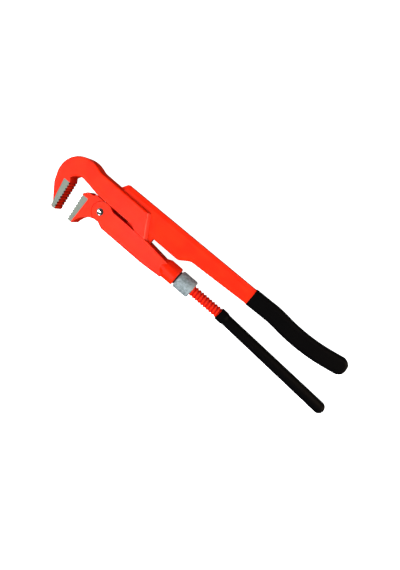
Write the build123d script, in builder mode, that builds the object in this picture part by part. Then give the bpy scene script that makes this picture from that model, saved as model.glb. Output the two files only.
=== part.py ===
"""Two-handled pipe wrench with right-angled jaws, of the one and a half inch size, in millimetres.

The origin is the axis of the gripped pipe, midway between the jaws.
+X runs from the jaws to the handle ends, +Y towards the upper leg, +Z along the pipe.
The wrench is the same on both sides of its middle plane, z = 0.
"""
import os
from math import cos, radians, sin, tan

from build123d import *

# Jaws
head_thickness = 18.0
rest_opening = 19.6
jaw_lean = 3.0
throat_depth = 25.0
hook_reach = 22.0
lower_jaw_reach = 20.7
tooth_pitch = 3.8
tooth_depth = 1.3
tooth_land = 1.1
tooth_rake = 0.8
hook_teeth_top = 14.6
hook_tooth_count = 9
lower_teeth_top = 14.0
lower_tooth_count = 9
ground_flat_depth = 0.4
ground_flat_width = 8.6
ground_flat_tip_width = 5.4

# Head of the upper leg
hook_back_radius = 28.9
hook_back_offset = 7.2
hook_back_rise = 3.2
hook_tip_width = 5.9
hook_tip_radius = 2.0
hook_tip_length = 6.0
hook_tip_bend = 5.5
hook_tip_blend = 4.0
hook_flank_blend = 20.0
hook_back_end = 16.0
hook_back_run = 10.3
hook_crown_blend = 12.0
throat_relief_far = 34.2
throat_relief_near = 11.0
throat_relief = 3.5
throat_undercut = 3.9
throat_corner_drop = 5.0
shank_depth = 22.7
head_length_top = 95.1
head_length_foot = 110.1
foot_length = 18.5
foot_drop = 3.7
step_run = 6.0
head_edge_radius = 2.0
head_end_slope = 3.6

# Handle of the upper leg
handle_thickness = 10.0
handle_front = 53.6
handle_front_run = 8.5
handle_rise = 8.8
handle_bevel_width = 4.0
handle_bevel_depth = 1.6
handle_underside = 2.3
handle_wide_end = 151.2
handle_ramp_run = 13.0
handle_ramp_rise = 8.7
handle_ramp_radius = 9.0

# Upper grip and the tail of the handle inside it
grip_mouth = 243.1
grip_axis_height = 25.5
grip_width = 21.8
grip_wall = 1.1
grip_clearance = 0.1
grip_start_angle = 2.2
grip_first_run = 26.0
grip_down_radius = 147.0
grip_down_angle = 8.0
grip_up_radius = 228.0
grip_up_angle = 17.1
grip_last_run = 22.7
grip_end_radius = 9.5
grip_edge_radius = 5.0

# Adjusting rod, its hinge in the upper leg, and the lower grip
rod_diameter = 13.4
rod_drop = 14.5
hinge_station = 108.25
hinge_pin_diameter = 5.0
hinge_pin_length = 10.4
pin_clearance = 0.05
lug_thickness = 5.0
lug_radius = 5.4
lug_clearance = 0.2
rod_fork_depth = 7.5
thread_end = 227.3
tail_diameter = 11.0
tail_angle = 2.5
tail_length = 163.0
tail_overlap = 1.0
lower_grip_mouth = 0.8
lower_grip_end_wall = 5.8
lower_grip_collar_diameter = 15.6
lower_grip_collar_length = 8.5
lower_grip_neck_diameter = 13.8
lower_grip_end_diameter = 14.9
lower_grip_end_radius = 6.0
collar_taper = 3.0

# Jaw carrier, which slides along the rod and the underside of the head, in distances from the lower teeth
slide_clearance = 0.4
knuckle_radius = 11.9
knuckle_setback = 1.2
knuckle_rise = 0.8
jaw_pin_setback = 27.65
jaw_pin_drop = 13.3
jaw_pin_diameter = 7.0
jaw_pin_head_diameter = 8.8
jaw_pin_head_height = 1.4
carrier_depth = 28.1
carrier_step_setback = 39.3
carrier_chin_angle = 10.0
carrier_chin_run = 11.8
carrier_relief_start = 90.4
carrier_relief_drop = 3.8
carrier_belly_end = 101.4
carrier_edge_radius = 2.0
guide_rib_thickness = 8.0
guide_rib_front = 78.6
rib_clearance = 0.3
rib_headroom = 0.7
tunnel_front = 48.0
bore_clearance = 0.3
carrier_slot_end = 118.4
socket_diameter = 23.4
socket_front = 126.8
socket_end = 143.5
socket_taper = 6.0
socket_chamfer = 1.2

# Lower jaw, which rocks on the jaw pin
tongue_thickness = 9.0
tongue_clearance = 0.15
tongue_eye_radius = 7.6
tongue_depth = 13.0
fork_room = 3.2
shoulder_clearance = 0.5
jaw_headroom = 1.1
horn_drop = 4.9
horn_tip_run = 3.0
horn_tip_drop = 4.4
horn_width = 10.9
horn_slope = 1.0
neck_rise_run = 2.0
neck_low_angle = 10.5
lower_tip_width = 6.5
lower_back_bulge = 4.2

# Adjusting nut on the rod
nut_diameter = 22.0
nut_length = 21.5
nut_chamfer = 1.0
nut_collar_diameter = 17.0
nut_collar_length = 1.8
nut_clearance = 0.1
thrust_clearance = 0.2

# Places that follow from the sizes above
half_head = head_thickness / 2
hook_face = -rest_opening / 2
lower_face = rest_opening / 2
shank_top = throat_depth + shank_depth
foot_line = throat_depth - foot_drop
rod_axis = throat_depth - rod_drop
rod_radius = rod_diameter / 2
hinge_x = hook_face + hinge_station
jaw_pin_x = lower_face + jaw_pin_setback
jaw_pin_y = throat_depth - jaw_pin_drop
carrier_top = foot_line - slide_clearance
knuckle_x = jaw_pin_x + knuckle_setback
knuckle_y = jaw_pin_y + knuckle_rise
carrier_front_top = knuckle_y + knuckle_radius
carrier_bottom = throat_depth - carrier_depth
foot_end = hook_face + head_length_foot
foot_step = foot_end - foot_length
carrier_step = lower_face + carrier_step_setback
bore_radius = rod_radius + bore_clearance
rod_line = Axis((0, rod_axis, 0), (1, 0, 0))
tail_plane = Plane(
    origin=(hook_face + thread_end, rod_axis, 0),
    x_dir=(cos(radians(tail_angle)), -sin(radians(tail_angle)), 0),
    z_dir=(0, 0, 1),
)
tail_line = Axis(tail_plane.origin, tail_plane.x_dir)
mouth_x = hook_face + grip_mouth
mouth_middle = Vector(mouth_x, throat_depth + grip_axis_height)
mouth_across = Vector(0, 1).rotate(Axis.Z, grip_start_angle)


def face_at(face, height):
    """Place along X of a jaw face at a height, because both faces lean alike about the pipe's axis."""
    return face - height * tan(radians(jaw_lean))


def tooth_gullet(face, top, flow):
    """Corner points of one gullet cut into a jaw face, leaning along Y by the sign of flow."""
    into = -1 if face < 0 else 1
    edge = face_at(face, top)
    clear = edge - into * tooth_depth
    root = edge + into * tooth_depth
    gap = tooth_pitch - tooth_land
    lean = tooth_rake if flow > 0 else gap - tooth_rake
    return [(clear, top), (edge, top), (root, top - lean), (edge, top - gap), (clear, top - gap)]


def ground_flat(face, top, tip):
    """Corner points of the ground strip beside a jaw's teeth, narrowing towards the tip."""
    into = -1 if face < 0 else 1
    upper = face_at(face, top)
    lower = face_at(face, tip)
    return [
        (upper - into * tooth_depth, top),
        (upper + into * ground_flat_width, top),
        (lower + into * ground_flat_tip_width, tip),
        (lower - into * tooth_depth, tip),
    ]


def tail_outline(inset):
    """Face of the bent handle tail: the grip's outline drawn in by inset on every side."""
    half_width = grip_width / 2 - inset
    start = mouth_middle
    along = Vector(1, 0).rotate(Axis.Z, grip_start_angle)
    across = mouth_across
    sides = []
    with BuildSketch() as outline:
        with BuildLine():
            for side in (1, -1):
                reach = side * half_width
                first = Line(start + across * reach, start + across * reach + along * grip_first_run)
                down = JernArc(first @ 1, first % 1, grip_down_radius + reach, -grip_down_angle)
                up = JernArc(down @ 1, down % 1, grip_up_radius - reach, grip_up_angle)
                last = Line(up @ 1, up @ 1 + (up % 1) * (grip_last_run - inset))
                sides.append((first, last))
            Line(sides[0][0] @ 0, sides[1][0] @ 0)
            Line(sides[0][1] @ 1, sides[1][1] @ 1)
        make_face()
        fillet(outline.vertices().sort_by(Axis.X)[-2:], grip_end_radius - inset)
    return outline.sketch


def flat_rims(piece, level):
    """Edges of a piece that lie in its two broad sides, at the height level above and below the middle."""
    return piece.edges().filter_by(lambda rim: abs(abs(rim.center().Z) - level) < 1e-6)


def tail_bar(inset):
    """Bent bar of the handle tail, smaller than the outside of the grip by inset all round."""
    half_thickness = handle_thickness / 2 + grip_wall - inset
    with BuildPart() as bar:
        add(tail_outline(inset))
        extrude(amount=half_thickness, both=True)
        rims = flat_rims(bar, half_thickness)
        long_rims = rims.filter_by(lambda rim: rim.center().X > mouth_x + grip_edge_radius)
        fillet(long_rims, grip_edge_radius - inset)
    return bar.part


# Handle of the upper leg, bevelled along its edges
handle_face = hook_face + handle_front
handle_top = shank_top + handle_rise
handle_low = throat_depth + handle_underside
mouth_half = mouth_across * (grip_width / 2 - grip_wall)
with BuildPart() as handle:
    with BuildSketch():
        with BuildLine():
            low_edge = FilletPolyline(
                (foot_step, handle_low),
                (hook_face + handle_wide_end, handle_low),
                (hook_face + handle_wide_end + handle_ramp_run, handle_low + handle_ramp_rise),
                mouth_middle - mouth_half,
                radius=handle_ramp_radius,
            )
            Polyline(
                low_edge @ 1,
                mouth_middle + mouth_half,
                (handle_face, handle_top),
                (handle_face - handle_front_run, shank_top - handle_bevel_width),
                low_edge @ 0,
            )
        make_face()
    extrude(amount=handle_thickness / 2, both=True)
    for side in (0, -1):
        broad = handle.faces().sort_by(Axis.Z)[side]
        rims = broad.edges().filter_by(lambda rim: rim.center().X < mouth_x - handle_bevel_width)
        chamfer(rims, handle_bevel_width, handle_bevel_depth, reference=broad)

# Upper leg: hook, head, guide rib and hinge lug, joined to the handle and its tail
hook_tip = -hook_reach
hook_tip_face = face_at(hook_face, hook_tip)
hook_tip_corner = (hook_tip_face - hook_tip_width, hook_tip)
hook_tip_shoulder = (hook_face - hook_tip_bend, hook_tip + hook_tip_length)
hook_center_x = hook_face + hook_back_offset
hook_center_y = shank_top + hook_back_rise - hook_back_radius
back_end = (
    hook_center_x - hook_back_radius * cos(radians(hook_back_end)),
    hook_center_y - hook_back_radius * sin(radians(hook_back_end)),
)
hook_flank = (
    back_end[0] + hook_back_run * sin(radians(hook_back_end)),
    back_end[1] - hook_back_run * cos(radians(hook_back_end)),
)
crown_run = (hook_back_radius**2 - (shank_top - hook_center_y) ** 2) ** 0.5
crown_end = (hook_center_x + crown_run, shank_top)
with BuildPart() as hook_leg:
    with BuildSketch() as head_outline:
        with BuildLine():
            jaw_edge = Polyline(
                (hook_face - throat_undercut, throat_depth - throat_corner_drop),
                (face_at(hook_face, hook_teeth_top), hook_teeth_top),
                (hook_tip_face, hook_tip),
                hook_tip_corner,
                hook_tip_shoulder,
                hook_flank,
                back_end,
            )
            ThreePointArc(back_end, (hook_center_x - hook_back_radius, hook_center_y), crown_end)
            under = Polyline(
                crown_end,
                (hook_face + head_length_top, shank_top),
                (foot_end, foot_line),
                (foot_step, foot_line),
                (foot_step - step_run, throat_depth),
                (hook_face + throat_relief_far, throat_depth),
                (hook_face + throat_relief_near, throat_depth + throat_relief),
            )
            TangentArc(under @ 1, jaw_edge @ 0, tangent=under % 1)
        make_face()
        for corner, radius in (
            (crown_end, hook_crown_blend),
            (hook_flank, hook_flank_blend),
            (hook_tip_shoulder, hook_tip_blend),
            (hook_tip_corner, hook_tip_radius),
        ):
            fillet(head_outline.vertices().sort_by_distance(corner)[0], radius)
    extrude(amount=half_head, both=True)
    rims = flat_rims(hook_leg, half_head)
    behind = rims.filter_by(lambda rim: rim.center().X > hook_face + head_length_top)
    chamfer(behind.filter_by(lambda rim: rim.center().Y > throat_depth), head_end_slope)
    rims = flat_rims(hook_leg, half_head)
    back_rims = rims.filter_by(lambda rim: rim.center().X < hook_face - hook_tip_width / 2)
    top_rims = rims.filter_by(lambda rim: rim.center().Y > shank_top - head_edge_radius)
    fillet(back_rims + top_rims, head_edge_radius)
    add(handle.part)
    add(tail_bar(grip_wall))
    with BuildSketch():
        with BuildLine():
            Polyline(
                (hook_face + guide_rib_front, foot_line),
                (hinge_x - lug_radius, foot_line),
                (hinge_x - lug_radius, rod_axis + bore_radius + rib_clearance),
                (hinge_x + lug_radius, rod_axis + bore_radius + rib_clearance),
                (hinge_x + lug_radius, shank_top - shank_depth / 2),
                (hook_face + guide_rib_front, shank_top - shank_depth / 2),
                close=True,
            )
        make_face()
    extrude(amount=guide_rib_thickness / 2, both=True)
    with BuildSketch():
        with Locations((hinge_x, rod_axis)):
            Circle(lug_radius)
            Rectangle(2 * lug_radius, foot_line - rod_axis, align=(Align.CENTER, Align.MIN))
    extrude(amount=lug_thickness / 2, both=True)
    with Locations((hinge_x, rod_axis, 0)):
        Cylinder(hinge_pin_diameter / 2 + pin_clearance, head_thickness, mode=Mode.SUBTRACT)
    with BuildSketch():
        for tooth in range(hook_tooth_count):
            gullet = tooth_gullet(hook_face, hook_teeth_top - tooth * tooth_pitch, 1)
            Polygon(*gullet, align=None)
    extrude(amount=half_head, both=True, mode=Mode.SUBTRACT)
    for side in (1, -1):
        with BuildSketch(Plane.XY.offset(side * half_head)):
            Polygon(*ground_flat(hook_face, hook_teeth_top, hook_tip), align=None)
        extrude(amount=-side * ground_flat_depth, mode=Mode.SUBTRACT)
hook_leg.part.label = "hook_leg"

# Dipped grip on the upper leg, closed at its end
with BuildPart() as upper_grip:
    add(tail_bar(0))
    add(tail_bar(grip_wall - grip_clearance), mode=Mode.SUBTRACT)
upper_grip.part.label = "upper_grip"

# Adjusting rod: forked front end on the hinge, plain core of the thread, and a bent tail
with BuildPart() as threaded_rod:
    with BuildSketch(Plane.YZ.offset(hinge_x)):
        with Locations((rod_axis, 0)):
            Circle(rod_radius)
    extrude(amount=hook_face + thread_end - hinge_x)
    with Locations((hinge_x, rod_axis, 0)):
        Sphere(rod_radius)
    with BuildSketch(tail_plane):
        with Locations((-tail_overlap, 0)):
            Rectangle(tail_length + tail_overlap, tail_diameter / 2, align=(Align.MIN, Align.MIN))
    revolve(axis=tail_line)
    with Locations((hinge_x, rod_axis, 0)):
        fork_gap = lug_thickness + 2 * lug_clearance
        Box(2 * rod_fork_depth, rod_diameter, fork_gap, mode=Mode.SUBTRACT)
        Cylinder(hinge_pin_diameter / 2 + pin_clearance, rod_diameter, mode=Mode.SUBTRACT)
threaded_rod.part.label = "threaded_rod"

# Pin that hinges the rod on the lug of the upper leg
with BuildPart() as leg_hinge_pin:
    with Locations((hinge_x, rod_axis, 0)):
        Cylinder(hinge_pin_diameter / 2, hinge_pin_length)
leg_hinge_pin.part.label = "leg_hinge_pin"

# Dipped grip on the tail of the rod, with a thicker collar at its mouth
collar_end = lower_grip_mouth + lower_grip_collar_length
collar_radius = lower_grip_collar_diameter / 2
grip_tip = tail_length + lower_grip_end_wall
grip_tip_radius = lower_grip_end_diameter / 2
hollow_radius = tail_diameter / 2 + grip_clearance
with BuildPart() as lower_grip:
    with BuildSketch(tail_plane) as lower_grip_section:
        with BuildLine():
            Polyline(
                (lower_grip_mouth, hollow_radius),
                (lower_grip_mouth, collar_radius),
                (collar_end, collar_radius),
                (collar_end + collar_taper, lower_grip_neck_diameter / 2),
                (grip_tip, grip_tip_radius),
                (grip_tip, 0),
                (tail_length + grip_clearance, 0),
                (tail_length + grip_clearance, hollow_radius),
                close=True,
            )
        make_face()
        end_corner = lower_grip_section.vertices().group_by(Axis.X)[-1].sort_by(Axis.Y)[-1]
        fillet(end_corner, lower_grip_end_radius)
    revolve(axis=tail_line)
lower_grip.part.label = "lower_grip"

# Jaw carrier: knuckle fork, slotted body and round socket, sliding on the rod
chin_turn = radians(carrier_chin_angle)
chin_start = (knuckle_x + knuckle_radius * sin(chin_turn), knuckle_y - knuckle_radius * cos(chin_turn))
socket_x = lower_face + socket_front
socket_face = lower_face + socket_end
socket_radius = socket_diameter / 2
carrier_rear = socket_x + socket_chamfer
with BuildPart() as jaw_carrier:
    with BuildSketch():
        with BuildLine():
            body_edge = Polyline(
                (knuckle_x, carrier_front_top),
                (carrier_step - step_run, carrier_front_top),
                (carrier_step, carrier_top),
                (lower_face + carrier_relief_start, carrier_top),
                (carrier_rear, carrier_top - carrier_relief_drop),
                (carrier_rear, rod_axis - socket_radius),
                (socket_x, rod_axis - socket_radius),
                (lower_face + carrier_belly_end, carrier_bottom),
                (jaw_pin_x + carrier_chin_run, carrier_bottom),
                chin_start,
            )
            ThreePointArc(body_edge @ 1, (knuckle_x - knuckle_radius, knuckle_y), body_edge @ 0)
        make_face()
    extrude(amount=half_head, both=True)
    rims = flat_rims(jaw_carrier, half_head)
    fillet(rims.filter_by(lambda rim: rim.center().Y < knuckle_y - knuckle_radius), carrier_edge_radius)
    with BuildSketch():
        with BuildLine():
            Polyline(
                (socket_x - socket_taper, rod_axis),
                (socket_x - socket_taper, rod_axis + half_head),
                (socket_x, rod_axis + socket_radius),
                (socket_face - socket_chamfer, rod_axis + socket_radius),
                (socket_face, rod_axis + socket_radius - socket_chamfer),
                (socket_face, rod_axis),
                close=True,
            )
        make_face()
    revolve(axis=rod_line)
    rib_slot = guide_rib_thickness / 2 + rib_clearance
    slot_floor = foot_line - rib_headroom
    slot_top = throat_depth + foot_drop
    with BuildSketch():
        with BuildLine():
            Polyline(
                (jaw_pin_x - knuckle_radius, slot_floor),
                (lower_face + tunnel_front, slot_floor),
                (lower_face + tunnel_front, rod_axis),
                (lower_face + carrier_slot_end, rod_axis),
                (lower_face + carrier_slot_end, slot_top),
                (jaw_pin_x - knuckle_radius, slot_top),
                close=True,
            )
        make_face()
    extrude(amount=rib_slot, both=True, mode=Mode.SUBTRACT)
    with BuildSketch(Plane.YZ.offset(lower_face + tunnel_front)):
        with Locations((rod_axis, 0)):
            Circle(bore_radius)
    extrude(amount=socket_end - tunnel_front, mode=Mode.SUBTRACT)
    fork_length = knuckle_radius + tongue_eye_radius + fork_room
    with Locations((jaw_pin_x - knuckle_radius, jaw_pin_y, 0)):
        Box(
            fork_length,
            2 * carrier_depth,
            tongue_thickness + 2 * tongue_clearance,
            align=(Align.MIN, Align.CENTER, Align.CENTER),
            mode=Mode.SUBTRACT,
        )
    with Locations((jaw_pin_x, jaw_pin_y, 0)):
        Cylinder(jaw_pin_diameter / 2 + pin_clearance, head_thickness, mode=Mode.SUBTRACT)
jaw_carrier.part.label = "jaw_carrier"

# Lower jaw: toothed head, shoulder round the knuckle, and the tongue on the pin
shoulder_radius = knuckle_radius + shoulder_clearance
jaw_top = throat_depth - jaw_headroom
horn_top = throat_depth - horn_drop
neck_low = (
    knuckle_x - shoulder_radius * sin(radians(neck_low_angle)),
    knuckle_y - shoulder_radius * cos(radians(neck_low_angle)),
)
lower_tip = -lower_jaw_reach
lower_tip_face = face_at(lower_face, lower_tip)
horn_foot = horn_top - horn_tip_drop
with BuildPart() as lower_jaw:
    with BuildSketch():
        with BuildLine():
            head_edge = Polyline(
                (lower_tip_face + lower_tip_width, lower_tip),
                (lower_tip_face, lower_tip),
                (face_at(lower_face, horn_foot), horn_foot),
                (lower_face + horn_tip_run, horn_top),
                (lower_face + horn_width, horn_top + horn_slope),
                (lower_face + horn_width + neck_rise_run, jaw_top),
                (knuckle_x, jaw_top),
                (knuckle_x, knuckle_y),
                neck_low,
            )
            SagittaArc(head_edge @ 1, head_edge @ 0, -lower_back_bulge)
        make_face()
        with Locations((knuckle_x, knuckle_y)):
            Circle(shoulder_radius, mode=Mode.SUBTRACT)
    extrude(amount=half_head, both=True)
    with BuildSketch():
        with Locations((jaw_pin_x, jaw_pin_y)):
            Circle(tongue_eye_radius)
            Rectangle(shoulder_radius + tongue_eye_radius, tongue_depth, align=(Align.MAX, Align.CENTER))
    extrude(amount=tongue_thickness / 2, both=True)
    with Locations((jaw_pin_x, jaw_pin_y, 0)):
        Cylinder(jaw_pin_diameter / 2 + pin_clearance, head_thickness, mode=Mode.SUBTRACT)
    with BuildSketch():
        for tooth in range(lower_tooth_count):
            gullet = tooth_gullet(lower_face, lower_teeth_top - tooth * tooth_pitch, -1)
            Polygon(*gullet, align=None)
    extrude(amount=half_head, both=True, mode=Mode.SUBTRACT)
    for side in (1, -1):
        with BuildSketch(Plane.XY.offset(side * half_head)):
            Polygon(*ground_flat(lower_face, lower_teeth_top, lower_tip), align=None)
        extrude(amount=-side * ground_flat_depth, mode=Mode.SUBTRACT)
lower_jaw.part.label = "lower_jaw"

# Riveted pin of the lower jaw, domed on both sides
with BuildPart() as jaw_pin:
    with Locations((jaw_pin_x, jaw_pin_y, 0)):
        Cylinder(jaw_pin_diameter / 2, head_thickness)
    dome_radius = (jaw_pin_head_diameter**2 / 4 + jaw_pin_head_height**2) / (2 * jaw_pin_head_height)
    with BuildSketch(Plane.XZ.offset(-jaw_pin_y)):
        with BuildLine():
            dome = RadiusArc(
                (jaw_pin_x, half_head + jaw_pin_head_height),
                (jaw_pin_x + jaw_pin_head_diameter / 2, half_head),
                dome_radius,
            )
            Polyline(dome @ 1, (jaw_pin_x, half_head), dome @ 0)
        make_face()
    revolve(axis=Axis((jaw_pin_x, jaw_pin_y, 0), (0, 0, 1)))
    mirror(about=Plane.XY)
jaw_pin.part.label = "jaw_pin"

# Adjusting nut, with a collar that bears on the socket
nut_face = socket_face + thrust_clearance
nut_bore = rod_radius + nut_clearance
nut_radius = nut_diameter / 2
with BuildPart() as adjusting_nut:
    with BuildSketch():
        with BuildLine():
            Polyline(
                (nut_face, rod_axis + nut_bore),
                (nut_face, rod_axis + nut_collar_diameter / 2),
                (nut_face + nut_collar_length, rod_axis + nut_collar_diameter / 2),
                (nut_face + nut_collar_length, rod_axis + nut_radius - nut_chamfer),
                (nut_face + nut_collar_length + nut_chamfer, rod_axis + nut_radius),
                (nut_face + nut_collar_length + nut_length - nut_chamfer, rod_axis + nut_radius),
                (nut_face + nut_collar_length + nut_length, rod_axis + nut_radius - nut_chamfer),
                (nut_face + nut_collar_length + nut_length, rod_axis + nut_bore),
                close=True,
            )
        make_face()
    revolve(axis=rod_line)
adjusting_nut.part.label = "adjusting_nut"

pieces = [
    hook_leg,
    upper_grip,
    threaded_rod,
    leg_hinge_pin,
    lower_grip,
    jaw_carrier,
    lower_jaw,
    jaw_pin,
    adjusting_nut,
]
os.makedirs("parts", exist_ok=True)
for piece in pieces:
    export_step(piece.part, f"parts/{piece.part.label}.step")
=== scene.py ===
"""Dresses a two-handled pipe wrench.

The forgings are painted, the flats beside the teeth are ground bare, the rod gets its rolled
thread, the nut its knurl and the handles their dipped grips.
"""

import math

import bpy
from bpy.props import FloatProperty, FloatVectorProperty, IntProperty, PointerProperty
from mathutils import Matrix, Vector


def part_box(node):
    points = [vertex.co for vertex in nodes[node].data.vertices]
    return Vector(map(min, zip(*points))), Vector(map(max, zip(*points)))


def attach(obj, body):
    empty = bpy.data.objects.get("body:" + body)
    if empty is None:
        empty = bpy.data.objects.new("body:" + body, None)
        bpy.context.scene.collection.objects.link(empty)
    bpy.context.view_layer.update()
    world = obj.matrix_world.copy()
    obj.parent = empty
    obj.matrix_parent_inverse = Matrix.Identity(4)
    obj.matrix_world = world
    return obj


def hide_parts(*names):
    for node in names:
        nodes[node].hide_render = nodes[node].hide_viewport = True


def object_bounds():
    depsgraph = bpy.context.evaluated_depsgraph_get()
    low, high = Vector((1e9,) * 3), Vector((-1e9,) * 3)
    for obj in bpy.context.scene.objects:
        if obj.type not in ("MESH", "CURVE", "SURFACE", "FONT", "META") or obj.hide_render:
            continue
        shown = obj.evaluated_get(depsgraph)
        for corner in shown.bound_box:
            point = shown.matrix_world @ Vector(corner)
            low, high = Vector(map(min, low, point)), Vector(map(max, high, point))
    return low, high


bl_info = {
    "name": "Two-Handled Pipe Wrench",
    "version": (1, 0, 0),
    "blender": (4, 5, 0),
    "location": "3D View > Sidebar > Wrench",
    "description": "Paints the legs, rolls the thread, knurls the nut and dips the grips",
    "category": "Object",
}

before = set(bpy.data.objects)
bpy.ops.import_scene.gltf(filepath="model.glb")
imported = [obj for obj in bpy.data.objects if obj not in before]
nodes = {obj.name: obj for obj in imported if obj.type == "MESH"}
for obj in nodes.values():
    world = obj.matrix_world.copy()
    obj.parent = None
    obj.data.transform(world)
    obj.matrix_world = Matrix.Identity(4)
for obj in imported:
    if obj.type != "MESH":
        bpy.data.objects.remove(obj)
cad_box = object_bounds()
nut_low, nut_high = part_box("adjusting_nut")
rod_axis_y = (nut_low.y + nut_high.y) / 2

SAME_POINT = 1e-6  # metres within which two points count as one
WHITE = (1.0, 1.0, 1.0)


class Value:
    """An output socket that takes part in arithmetic, each step adding a Math node."""

    def __init__(self, graph, socket):
        self.graph = graph
        self.socket = socket

    def __add__(self, other):
        return self.graph.math("ADD", self, other)

    def __radd__(self, other):
        return self.graph.math("ADD", other, self)

    def __sub__(self, other):
        return self.graph.math("SUBTRACT", self, other)

    def __rsub__(self, other):
        return self.graph.math("SUBTRACT", other, self)

    def __mul__(self, other):
        return self.graph.math("MULTIPLY", self, other)

    def __rmul__(self, other):
        return self.graph.math("MULTIPLY", other, self)

    def __gt__(self, other):
        return self.graph.math("GREATER_THAN", self, other)

    def __lt__(self, other):
        return self.graph.math("LESS_THAN", self, other)

    def __abs__(self):
        return self.graph.math("ABSOLUTE", self)


class Graph:
    """A node tree that is built by expressions."""

    def __init__(self, tree):
        self.tree = tree

    def plug(self, socket, value):
        """Links a value to a socket, or sets a plain number or colour on it."""
        if isinstance(value, Value):
            self.tree.links.new(value.socket, socket)
        else:
            socket.default_value = value

    def node(self, kind, settings=None, inputs=None, output=0):
        """Adds a node with its settings and inputs, and gives back one of its outputs."""
        made = self.tree.nodes.new(kind)
        for name, setting in (settings or {}).items():
            setattr(made, name, setting)
        for name, value in (inputs or {}).items():
            self.plug(made.inputs[name], value)
        return Value(self, made.outputs[output])

    def math(self, operation, *values):
        """Adds a Math node on one, two or three values."""
        return self.node("ShaderNodeMath", {"operation": operation}, dict(enumerate(values)))

    def blend(self, factor, low, high):
        """Mixes two colours."""
        return self.node(
            "ShaderNodeMix",
            {"data_type": "RGBA"},
            {"Factor": factor, 6: low, 7: high},
            output=2,
        )

    def axes(self, point):
        """The three parts of a vector."""
        split = self.tree.nodes.new("ShaderNodeSeparateXYZ")
        self.plug(split.inputs[0], point)
        return [Value(self, socket) for socket in split.outputs]

    def ramp(self, value, start, end, low=0.0, high=1.0):
        """Eases a value from low at start to high at end, and holds it beyond them."""
        return self.node(
            "ShaderNodeMapRange",
            {"interpolation_type": "SMOOTHSTEP"},
            {"Value": value, "From Min": start, "From Max": end, "To Min": low, "To Max": high},
        )


class Finish(Graph):
    """A node material with one surface shader, filled in by the function of each finish."""

    def __init__(self, name):
        self.material = bpy.data.materials.new(name)
        self.material.use_nodes = True
        super().__init__(self.material.node_tree)
        self.tree.nodes.clear()
        output = self.tree.nodes.new("ShaderNodeOutputMaterial")
        self.shader = self.tree.nodes.new("ShaderNodeBsdfPrincipled")
        self.tree.links.new(self.shader.outputs[0], output.inputs["Surface"])

    def place(self):
        """The point on the piece, in metres, as a vector."""
        return self.node("ShaderNodeTexCoord", output="Object")

    def noise(self, point, grains, detail, roughness=0.5):
        """Soft noise between 0 and 1 with a given number of grains to the metre."""
        return self.node(
            "ShaderNodeTexNoise",
            inputs={"Vector": point, "Scale": grains, "Detail": detail, "Roughness": roughness},
        )

    def bump(self, height, depth, strength):
        """Turns a height into a surface normal, with the depth in metres."""
        return self.node(
            "ShaderNodeBump", inputs={"Height": height, "Distance": depth, "Strength": strength}
        )

    def surface(self, **sockets):
        """Sets or links the shader's sockets, named with underscores for spaces."""
        for name, value in sockets.items():
            self.plug(self.shader.inputs[name.replace("_", " ")], value)
        return self.material


def rgba(tone):
    """A colour of three parts as the four numbers that a socket takes."""
    return (tone[0], tone[1], tone[2], 1.0)


def dress(node_name, material):
    """Gives a node of the frame one material all over."""
    mesh = nodes[node_name].data
    mesh.materials.clear()
    mesh.materials.append(material)


def pick(piece):
    """Leaves a single object selected and active, in object mode."""
    bpy.ops.object.select_all(action="DESELECT")
    piece.select_set(True)
    bpy.context.view_layer.objects.active = piece


def start_piece(name):
    """Names the primitive just added and applies its place, so that it sits at the origin."""
    piece = bpy.context.active_object
    piece.name = name
    piece.data.name = name
    bpy.ops.object.transform_apply(location=True, rotation=True, scale=True)
    return piece


def copy_of(node_name, name):
    """A separate copy of a node's mesh with its loose triangles merged."""
    piece = bpy.data.objects.new(name, nodes[node_name].data.copy())
    bpy.context.scene.collection.objects.link(piece)
    pick(piece)
    bpy.ops.object.mode_set(mode="EDIT")
    bpy.ops.mesh.select_all(action="SELECT")
    bpy.ops.mesh.remove_doubles(threshold=SAME_POINT)
    bpy.ops.object.mode_set(mode="OBJECT")
    return piece


def cut_off(piece, station, keep_front):
    """Cuts a piece square across at a station along X, closes the cut and keeps one end."""
    pick(piece)
    bpy.ops.object.mode_set(mode="EDIT")
    bpy.ops.mesh.select_all(action="SELECT")
    bpy.ops.mesh.bisect(
        plane_co=(station, 0, 0),
        plane_no=(1, 0, 0),
        use_fill=True,
        clear_outer=keep_front,
        clear_inner=not keep_front,
    )
    bpy.ops.object.mode_set(mode="OBJECT")


def finish_piece(piece, material, body, smooth_angle):
    """Closes a new piece: outward faces, smooth shading, one material and the body it rides."""
    pick(piece)
    bpy.ops.object.mode_set(mode="EDIT")
    bpy.ops.mesh.select_all(action="SELECT")
    bpy.ops.mesh.remove_doubles(threshold=SAME_POINT)
    bpy.ops.mesh.normals_make_consistent(inside=False)
    bpy.ops.object.mode_set(mode="OBJECT")
    bpy.ops.object.shade_smooth_by_angle(angle=smooth_angle)
    piece.data.materials.clear()
    piece.data.materials.append(material)
    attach(piece, body)


def length(name, description, default):
    """A length in metres that a user can change."""
    return FloatProperty(name=name, description=description, unit="LENGTH", default=default)


def angle(name, description, degrees):
    """An angle that a user can change."""
    return FloatProperty(
        name=name, description=description, subtype="ANGLE", default=math.radians(degrees)
    )


def power(name, description, default):
    """A light's power in watts that a user can change."""
    return FloatProperty(name=name, description=description, unit="POWER", default=default)


def color(name, description, default):
    """A colour that a user can change."""
    return FloatVectorProperty(name=name, description=description, subtype="COLOR", default=default)


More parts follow.
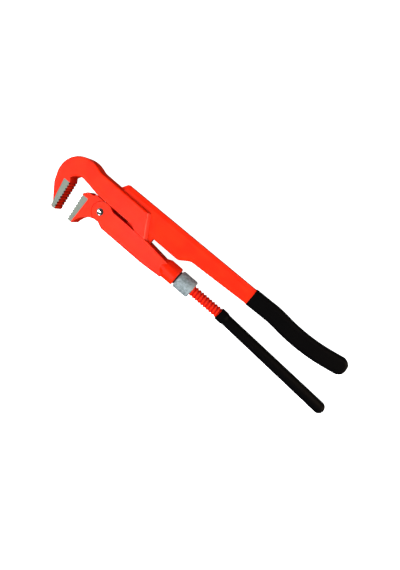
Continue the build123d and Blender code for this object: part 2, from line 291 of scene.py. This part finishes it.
class WrenchPaint(bpy.types.PropertyGroup):
    """Colours of the painted forgings, and where their bare flats and teeth lie."""

    paint: color("Paint", "Gloss paint on the forgings", (0.59, 0.0145, 0.001))
    paint_shade: color("Paint Shade", "Thinner, deeper paint", (0.55, 0.01, 0.0004))
    ground_steel: color("Ground Steel", "Bare flats beside the teeth", (0.155, 0.178, 0.153))
    # Colour of the painted shade in the gullets between the jaw teeth.
    painted_shade_mark: color("Gullet Shade", "Painted shade in the gullets", (0.02, 0.002, 0.001))
    flat_level: length("Flat Level", "Height of the ground flats", 0.0086)
    hook_flat_end: length("Hook Flat End", "Where the hook's flat stops", -0.0195)
    lower_flat_end: length("Lower Flat End", "Where the lower jaw's flat stops", 0.0195)
    jaw_face: length("Jaw Face", "From the pipe's axis to each toothed face", 0.0098)
    jaw_lean: angle("Jaw Lean", "Lean of the toothed faces", 3.0)
    tooth_depth: length("Tooth Depth", "From the crests to the gullets", 0.0013)
    teeth_top: length("Teeth Top", "Where the teeth stop", 0.0146)
    dull_below: length("Dull Below", "Height up to which the paint is dull", 0.0075)
    rubbed_above: length("Rubbed Above", "Height from which the paint is rubbed bright", 0.0085)
    # Heights over which the painted shade in the gullets eases in, strongest towards the broad
    # faces.
    gullet_shade_start: length("Grease Start", "Height at which the painted shade begins in the gullets", 0.0035)
    gullet_shade_full: length("Grease Full", "Height at which the painted shade fills the gullets", 0.0065)


class WrenchThread(bpy.types.PropertyGroup):
    """Sizes and colour of the rolled thread on the adjusting rod."""

    front: length("Front", "Start of the thread", 0.1294)
    lead: length("Lead", "Travel in one turn", 0.0042)
    turns: IntProperty(name="Turns", description="Number of turns", default=21)
    crest: length("Crest", "Radius of the ridges", 0.0067)
    root: length("Root", "Radius between the ridges", 0.0056)
    steps: IntProperty(name="Steps", description="Facets in one turn", default=40)
    # Colour of the painted shade in the grooves between the ridges.
    groove_shade: color("Groove Shade", "Painted shade between the ridges", (0.28, 0.0003, 0.0003))


class WrenchNut(bpy.types.PropertyGroup):
    """Sizes and colours of the knurled adjusting nut."""

    collar_length: length("Collar Length", "Length of the thrust collar", 0.0018)
    collar_radius: length("Collar Radius", "Radius of the thrust collar", 0.0085)
    bore_radius: length("Bore", "Radius of the bore", 0.0068)
    chamfer: length("Chamfer", "Chamfer at both ends", 0.001)
    columns: IntProperty(
        name="Columns", description="Knurl points around the nut, times two", default=96
    )
    rows: IntProperty(name="Rows", description="Knurl points along the nut, times two", default=24)
    knurl_depth: length("Knurl Depth", "Depth of the knurl", 0.00035)
    zinc: color("Zinc", "Plating of the nut", (0.235, 0.28, 0.295))
    dull_zinc: color("Dull Zinc", "Weathered plating", (0.12, 0.15, 0.16))
    # Dark colour painted on the thrust collar as the shade in the gap before the socket.
    painted_shade: color("Painted Shade", "Painted shade on the thrust collar", (0.012, 0.01, 0.009))


class WrenchGrip(bpy.types.PropertyGroup):
    """Colours of the dipped grips and the steel pins."""

    rubber: color("Rubber", "Dipped coating", (0.0008, 0.0008, 0.0009))
    pin_steel: color("Pin Steel", "Polished rivet", (0.66, 0.67, 0.66))


class WrenchStage(bpy.types.PropertyGroup):
    """Camera, floor and light."""

    aim: FloatVectorProperty(
        name="Aim",
        description="Point in the middle of the picture",
        subtype="XYZ",
        default=(0.17975, 0.0215, 0.0),
    )
    distance: length("Distance", "From camera to aim", 0.43)
    tilt: angle("Tilt", "Lean of the view to the upper leg", 13.0)
    roll: angle("Roll", "Turn of the picture", 40.8)
    lens: FloatProperty(name="Lens", description="Focal length in millimetres", default=23.21)
    key_power: power("Key Power", "Softbox over the wrench", 47.0)
    fill_power: power("Fill Power", "Softbox beyond the upper leg", 12.0)
    side_power: power("Side Power", "Strip light beyond the handles", 24.0)
    side_color: color("Side Color", "Warm light of the strip", (1.0, 0.7, 0.5))
    low_power: power("Low Power", "Small lamp below the lower leg", 1.2)
    left_power: power("Left Power", "Lamp beyond the jaws", 7.0)
    head_power: power("Head Power", "Lamp over the head", 3.0)
    walls: FloatProperty(name="Walls", description="Light from the pale walls", default=0.15)
    ceiling: FloatProperty(name="Ceiling", description="Light from the dark ceiling", default=0.03)
    floor: color("Floor", "Paper under the wrench", (0.6, 0.6, 0.6))
    floor_size: length("Floor Size", "Side of the paper", 6.0)
    floor_gap: length("Floor Gap", "From the paper to the wrench", 0.0002)
    floor_glow: FloatProperty(
        name="Floor Glow", description="Light table under the paper", default=1.0
    )


def gullet_shade_mask(colors, side):
    """Mask of the painted shade between the teeth of the jaw on one side of the pipe."""

    def mask(finish, x, y, z):
        # Painted shade: darkens the gullets of the teeth, most towards the broad faces.
        depth = side * (x + y * math.tan(colors.jaw_lean)) - colors.jaw_face
        toothed = (depth < 1.2 * colors.tooth_depth) * (y < colors.teeth_top)
        gullet = finish.ramp(depth, 0.1 * colors.tooth_depth, 0.6 * colors.tooth_depth)
        ends = finish.ramp(abs(z), colors.gullet_shade_start, colors.gullet_shade_full, low=0.12)
        return toothed * gullet * ends

    return mask


def groove_shade_mask(sizes):
    """Mask of the painted shade in the grooves of the rolled thread."""

    def mask(finish, x, y, z):
        across = y - rod_axis_y
        radius = finish.math("SQRT", across * across + z * z)
        # Painted shade: darkest at the roots, fading out at the crests.
        return (x > sizes.front) * finish.ramp(radius, sizes.root, sizes.crest, low=0.9, high=0.0)

    return mask


def paint_finish(name, colors, painted_shade_mark=None, flat=None):
    """Gloss paint with a little orange peel, duller below the raised broad faces.

    Shade is painted by a mask with its colour. A flat is the span along X in which the steel is
    bare.
    """
    finish = Finish(name)
    place = finish.place()
    x, y, z = finish.axes(place)
    peel = finish.noise(place, grains=900.0, detail=2.0)
    drift = finish.noise(place, grains=55.0, detail=4.0)
    speck = finish.noise(place, grains=2600.0, detail=1.0)
    tint = finish.ramp(drift, 0.35, 0.65)
    paint = finish.blend(tint, rgba(colors.paint_shade), rgba(colors.paint))
    if painted_shade_mark is not None:
        mask, shade_tone = painted_shade_mark
        # The mask paints shade in its colour over the paint.
        paint = finish.blend(mask(finish, x, y, z), paint, rgba(shade_tone))
    rubbed = finish.ramp(abs(z), colors.dull_below, colors.rubbed_above)
    dull_rough = 0.55
    rubbed_rough = 0.3
    rough = dull_rough - rubbed * (dull_rough - rubbed_rough) + drift * 0.12
    height = peel * 0.7 + speck * 0.3
    peel_depth = 0.00006
    gloss = 0.1
    if flat is None:
        return finish.surface(
            Base_Color=paint,
            Roughness=rough,
            Normal=finish.bump(height, peel_depth, strength=0.5),
            Specular_IOR_Level=gloss,
        )
    near, far = flat
    level_play = 0.00006
    level = abs(abs(z) - colors.flat_level) < level_play
    bare = level * (x > near) * (x < far)
    across = finish.node("ShaderNodeMapping", inputs={"Vector": place, "Scale": (1.0, 9.0, 1.0)})
    marks = finish.noise(across, grains=700.0, detail=4.0)
    dark_steel = [tone * 0.75 for tone in colors.ground_steel]
    steel = finish.blend(marks, rgba(colors.ground_steel), rgba(dark_steel))
    return finish.surface(
        Base_Color=finish.blend(bare, paint, steel),
        Roughness=rough + bare * 0.12,
        Metallic=bare * 0.4,
        Normal=finish.bump(height + bare * marks, peel_depth, strength=0.5),
        Specular_IOR_Level=gloss,
    )


def zinc_finish(settings):
    """Plated steel with a cloudy, slightly dulled surface, and painted shade on the thrust collar.
    """
    finish = Finish("zinc_plate")
    place = finish.place()
    cloud = finish.noise(place, grains=320.0, detail=5.0, roughness=0.65)
    fine = finish.noise(place, grains=2400.0, detail=2.0)
    along = finish.axes(place)[0]
    # The thrust collar is painted dark as shade.
    collar = along < nut_low.x + settings.collar_length
    tint = finish.ramp(cloud, 0.35, 0.65)
    plate = finish.blend(tint, rgba(settings.dull_zinc), rgba(settings.zinc))
    return finish.surface(
        Base_Color=finish.blend(collar, plate, rgba(settings.painted_shade)),
        Metallic=0.35,
        Roughness=0.45 + cloud * 0.2,
        Normal=finish.bump(fine, 0.00004, strength=0.4),
    )


def rubber_finish(settings):
    """Dipped coating: nearly black, with a fine skin grain and uneven sheen."""
    finish = Finish("dipped_rubber")
    place = finish.place()
    grain = finish.noise(place, grains=2200.0, detail=3.0)
    sag = finish.noise(place, grains=60.0, detail=2.0)
    return finish.surface(
        Base_Color=rgba(settings.rubber),
        Roughness=0.5 + sag * 0.2,
        Specular_IOR_Level=0.03,
        Normal=finish.bump(grain * 0.6 + sag * 2.0, 0.00008, strength=0.5),
    )


def steel_finish(settings):
    """Polished steel of the rivet, with fine scuffs."""
    finish = Finish("pin_steel")
    scuff = finish.noise(finish.place(), grains=1500.0, detail=4.0, roughness=0.7)
    return finish.surface(
        Base_Color=rgba(settings.pin_steel), Metallic=1.0, Roughness=0.12 + scuff * 0.14
    )


class WRENCH_OT_stage(bpy.types.Operator):
    """Lays the floor, hangs the lights and sets the camera"""

    bl_idname = "wrench.stage"
    bl_label = "Set Stage"

    def execute(self, context):
        stage = context.scene.wrench_stage
        aim = Vector(stage.aim)
        turn = Matrix.Rotation(-stage.tilt, 3, "X")
        camera_data = bpy.data.cameras.new("photo_camera")
        camera_data.lens = stage.lens
        camera_data.sensor_width = 36.0
        camera_data.clip_start = 0.01
        camera = bpy.data.objects.new("photo_camera", camera_data)
        camera.location = aim + turn @ Vector((0, 0, stage.distance))
        camera.rotation_euler = (turn @ Matrix.Rotation(stage.roll, 3, "Z")).to_euler()
        context.scene.collection.objects.link(camera)
        context.scene.camera = camera

        bpy.ops.object.select_all(action="DESELECT")
        floor_place = (aim.x, aim.y, cad_box[0].z - stage.floor_gap)
        bpy.ops.mesh.primitive_plane_add(size=stage.floor_size, location=floor_place)
        floor = start_piece("paper_floor")
        paper = Finish("paper")
        floor.data.materials.append(
            paper.surface(
                Base_Color=rgba(stage.floor),
                Roughness=0.9,
                Specular_IOR_Level=0.0,
                Emission_Color=rgba(WHITE),
                Emission_Strength=stage.floor_glow,
            )
        )
        floor.visible_glossy = False
        floor.visible_diffuse = False

        # The softboxes light the surfaces, and the lamps are seen only as reflections in the gloss.
        for name, watts, size, offset, tone, mirrored in (
            ("key_softbox", stage.key_power, 1.2, Vector((-0.1, -0.7, 1.1)), WHITE, False),
            ("fill_softbox", stage.fill_power, 1.0, Vector((0.55, 0.75, 0.6)), WHITE, False),
            ("side_strip", stage.side_power, 0.3, Vector((1.0, 0.45, 0.3)), stage.side_color, True),
            ("low_lamp", stage.low_power, 0.3, Vector((-0.2, -1.0, 0.5)), WHITE, True),
            ("left_lamp", stage.left_power, 0.5, Vector((-1.0, -0.3, 0.85)), WHITE, True),
            ("head_lamp", stage.head_power, 0.3, Vector((-0.35, -0.25, 1.2)), WHITE, True),
        ):
            light_data = bpy.data.lights.new(name, "AREA")
            light_data.energy = watts
            light_data.size = size
            light_data.color = tone
            light = bpy.data.objects.new(name, light_data)
            light.location = aim + offset
            light.rotation_euler = (-offset).to_track_quat("-Z", "Y").to_euler()
            light.visible_glossy = mirrored
            light.visible_diffuse = not mirrored
            context.scene.collection.objects.link(light)

        world = bpy.data.worlds.new("even_light")
        world.use_nodes = True
        room = Graph(world.node_tree)
        background = world.node_tree.nodes["Background"]
        height = room.axes(room.node("ShaderNodeTexCoord", output="Generated"))[2]
        background.inputs["Color"].default_value = rgba(WHITE)
        wall = room.ramp(height, -0.3, 0.1) * room.ramp(height, 0.4, 0.75, low=1.0, high=0.0)
        room.plug(background.inputs["Strength"], stage.ceiling + wall * stage.walls)
        context.scene.world = world
        context.scene.view_settings.view_transform = "Standard"
        return {"FINISHED"}


class WRENCH_OT_paint(bpy.types.Operator):
    """Paints the upper leg, the carrier and the lower jaw, and grinds the flats beside the teeth"""

    bl_idname = "wrench.paint"
    bl_label = "Paint Forgings"

    def execute(self, context):
        colors = context.scene.wrench_paint
        hook_flat = (colors.hook_flat_end, 0.0)
        lower_flat = (0.0, colors.lower_flat_end)
        # Both jaws get painted shade in their gullets.
        hook_gullet_shade = (gullet_shade_mask(colors, -1), colors.painted_shade_mark)
        lower_gullet_shade = (gullet_shade_mask(colors, 1), colors.painted_shade_mark)
        dress("hook_leg", paint_finish("hook_paint", colors, hook_gullet_shade, hook_flat))
        dress("lower_jaw", paint_finish("lower_jaw_paint", colors, lower_gullet_shade, lower_flat))
        dress("jaw_carrier", paint_finish("carrier_paint", colors))
        return {"FINISHED"}


class WRENCH_OT_thread(bpy.types.Operator):
    """Rolls the coarse round thread and joins it to the fork and the tail of the rod"""

    bl_idname = "wrench.thread"
    bl_label = "Roll Thread"

    def execute(self, context):
        sizes = context.scene.wrench_thread
        rise = sizes.crest - sizes.root
        # One ridge as shares of the lead and of the rise.
        flank = [(0.14, 0.0), (0.24, 0.3), (0.34, 0.78), (0.46, 1.0)]
        far_flank = [(0.58, 1.0), (0.7, 0.78), (0.8, 0.3), (0.9, 0.0), (1.0, 0.0)]
        bpy.ops.object.select_all(action="DESELECT")
        bpy.ops.mesh.primitive_plane_add(size=sizes.lead, location=(sizes.front, 0, sizes.root))
        thread = start_piece("rolled_thread")
        bpy.ops.object.mode_set(mode="EDIT")
        bpy.ops.mesh.select_all(action="SELECT")
        bpy.ops.mesh.merge(type="CENTER")
        along, out = 0.0, 0.0
        for next_along, next_out in flank + far_flank:
            step = ((next_along - along) * sizes.lead, 0, (next_out - out) * rise)
            bpy.ops.mesh.extrude_region_move(TRANSFORM_OT_translate={"value": step})
            along, out = next_along, next_out
        bpy.ops.object.mode_set(mode="OBJECT")
        winding = thread.modifiers.new("winding", "SCREW")
        winding.axis = "X"
        winding.angle = 2 * math.pi
        winding.screw_offset = sizes.lead
        winding.iterations = sizes.turns
        winding.steps = sizes.steps
        winding.render_steps = sizes.steps
        winding.use_merge_vertices = True
        winding.merge_threshold = SAME_POINT
        bpy.ops.object.modifier_apply(modifier=winding.name)
        thread.location.y = rod_axis_y
        bpy.ops.object.transform_apply(location=True)

        # The fork and the tail run a little way into the thread, so that no gap shows.
        fork_end = sizes.front + sizes.lead / 2
        tail_start = sizes.front + sizes.lead * (sizes.turns - 0.05)
        fork = copy_of("threaded_rod", "rod_fork")
        cut_off(fork, fork_end, keep_front=True)
        tail = copy_of("threaded_rod", "rod_tail")
        cut_off(tail, tail_start, keep_front=False)
        pick(thread)
        fork.select_set(True)
        tail.select_set(True)
        bpy.ops.object.join()
        thread.name = "rod_with_thread"
        thread.data.name = thread.name
        # The grooves get painted shade.
        painted_shade_mark = (groove_shade_mask(sizes), sizes.groove_shade)
        paint = paint_finish("rod_paint", context.scene.wrench_paint, painted_shade_mark)
        finish_piece(thread, paint, "lower_leg", math.radians(35.0))
        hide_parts("threaded_rod")
        return {"FINISHED"}


class WRENCH_OT_nut(bpy.types.Operator):
    """Turns the adjusting nut with its thrust collar and knurls its outside"""

    bl_idname = "wrench.nut"
    bl_label = "Knurl Nut"

    def ring(self, edges_at, radius_from, radius_to, shift):
        """Draws the open end out by a shift along X and a change of radius."""
        bpy.ops.mesh.extrude_region_move(TRANSFORM_OT_translate={"value": (shift, 0, 0)})
        scale = radius_to / radius_from
        bpy.ops.transform.resize(value=(1, scale, scale), center_override=(edges_at + shift, 0, 0))

    def select_end(self, piece, station):
        """Selects the open loop of edges at a station along X."""
        bpy.ops.mesh.select_all(action="DESELECT")
        bpy.ops.object.mode_set(mode="OBJECT")
        for vertex in piece.data.vertices:
            vertex.select = abs(vertex.co.x - station) < SAME_POINT
        bpy.ops.object.mode_set(mode="EDIT")

    def execute(self, context):
        sizes = context.scene.wrench_nut
        root = (nut_high.y - nut_low.y) / 2
        crest = root + sizes.knurl_depth
        front = nut_low.x + sizes.collar_length
        band_front = front + sizes.chamfer
        band_rear = nut_high.x - sizes.chamfer
        band = band_rear - band_front
        bpy.ops.object.select_all(action="DESELECT")
        bpy.ops.mesh.primitive_cylinder_add(
            vertices=sizes.columns,
            radius=root,
            depth=band,
            end_fill_type="NOTHING",
            location=((band_front + band_rear) / 2, 0, 0),
            rotation=(0, math.pi / 2, 0),
        )
        nut = start_piece("knurled_nut")
        bpy.ops.object.mode_set(mode="EDIT")
        bpy.ops.mesh.select_mode(type="EDGE")
        bpy.ops.mesh.select_all(action="DESELECT")
        bpy.ops.object.mode_set(mode="OBJECT")
        for edge in nut.data.edges:
            ends = [nut.data.vertices[index].co for index in edge.vertices]
            edge.select = abs(ends[0].x - ends[1].x) > band / 2
        bpy.ops.object.mode_set(mode="EDIT")
        bpy.ops.mesh.subdivide(number_cuts=sizes.rows - 1)
        bpy.ops.mesh.select_mode(type="VERT")
        bpy.ops.mesh.select_all(action="DESELECT")
        bpy.ops.object.mode_set(mode="OBJECT")
        sector = 2 * math.pi / sizes.columns
        for vertex in nut.data.vertices:
            row = round((vertex.co.x - band_front) / band * sizes.rows)
            column = round(math.atan2(vertex.co.z, vertex.co.y) / sector)
            vertex.select = 0 < row < sizes.rows and (row + column) % 2 == 0
        bpy.ops.object.mode_set(mode="EDIT")
        swell = crest / root
        bpy.ops.transform.resize(value=(1, swell, swell), center_override=(0, 0, 0))

        bevel = root - sizes.chamfer
        self.select_end(nut, band_rear)
        self.ring(band_rear, root, bevel, sizes.chamfer)
        self.ring(nut_high.x, bevel, sizes.bore_radius, 0.0)
        self.ring(nut_high.x, sizes.bore_radius, sizes.bore_radius, nut_low.x - nut_high.x)
        self.ring(nut_low.x, sizes.bore_radius, sizes.collar_radius, 0.0)
        self.ring(nut_low.x, sizes.collar_radius, sizes.collar_radius, sizes.collar_length)
        self.ring(front, sizes.collar_radius, bevel, 0.0)
        self.ring(front, bevel, root, sizes.chamfer)
        bpy.ops.object.mode_set(mode="OBJECT")
        nut.location.y = rod_axis_y
        bpy.ops.object.transform_apply(location=True)
        finish_piece(nut, zinc_finish(sizes), "adjusting_nut", math.radians(20.0))
        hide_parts("adjusting_nut")
        return {"FINISHED"}


class WRENCH_OT_grips(bpy.types.Operator):
    """Coats the two grips and polishes the pins"""

    bl_idname = "wrench.grips"
    bl_label = "Dip Grips"

    def execute(self, context):
        settings = context.scene.wrench_grip
        rubber = rubber_finish(settings)
        dress("upper_grip", rubber)
        dress("lower_grip", rubber)
        steel = steel_finish(settings)
        dress("jaw_pin", steel)
        dress("leg_hinge_pin", steel)
        return {"FINISHED"}


class WRENCH_PT_panel(bpy.types.Panel):
    """Lists the wrench's settings and the steps that dress it"""

    bl_label = "Pipe Wrench"
    bl_idname = "WRENCH_PT_panel"
    bl_space_type = "VIEW_3D"
    bl_region_type = "UI"
    bl_category = "Wrench"

    def draw(self, context):
        for name, group in SETTINGS.items():
            box = self.layout.box()
            for prop in group.__annotations__:
                box.prop(getattr(context.scene, name), prop)
        for operator in OPERATORS:
            self.layout.operator(operator.bl_idname)


SETTINGS = {
    "wrench_paint": WrenchPaint,
    "wrench_thread": WrenchThread,
    "wrench_nut": WrenchNut,
    "wrench_grip": WrenchGrip,
    "wrench_stage": WrenchStage,
}
OPERATORS = (WRENCH_OT_stage, WRENCH_OT_paint, WRENCH_OT_thread, WRENCH_OT_nut, WRENCH_OT_grips)


def register():
    """Registers the settings, the operators and the panel."""
    for name, group in SETTINGS.items():
        bpy.utils.register_class(group)
        setattr(bpy.types.Scene, name, PointerProperty(type=group))
    for operator in OPERATORS:
        bpy.utils.register_class(operator)
    bpy.utils.register_class(WRENCH_PT_panel)


def unregister():
    """Takes away what register added."""
    bpy.utils.unregister_class(WRENCH_PT_panel)
    for operator in reversed(OPERATORS):
        bpy.utils.unregister_class(operator)
    for name, group in SETTINGS.items():
        delattr(bpy.types.Scene, name)
        bpy.utils.unregister_class(group)


def main():
    """Dresses the wrench step by step."""
    register()
    bpy.ops.wrench.stage()
    bpy.ops.wrench.paint()
    bpy.ops.wrench.thread()
    bpy.ops.wrench.nut()
    bpy.ops.wrench.grips()


if __name__ == "__main__":
    main()
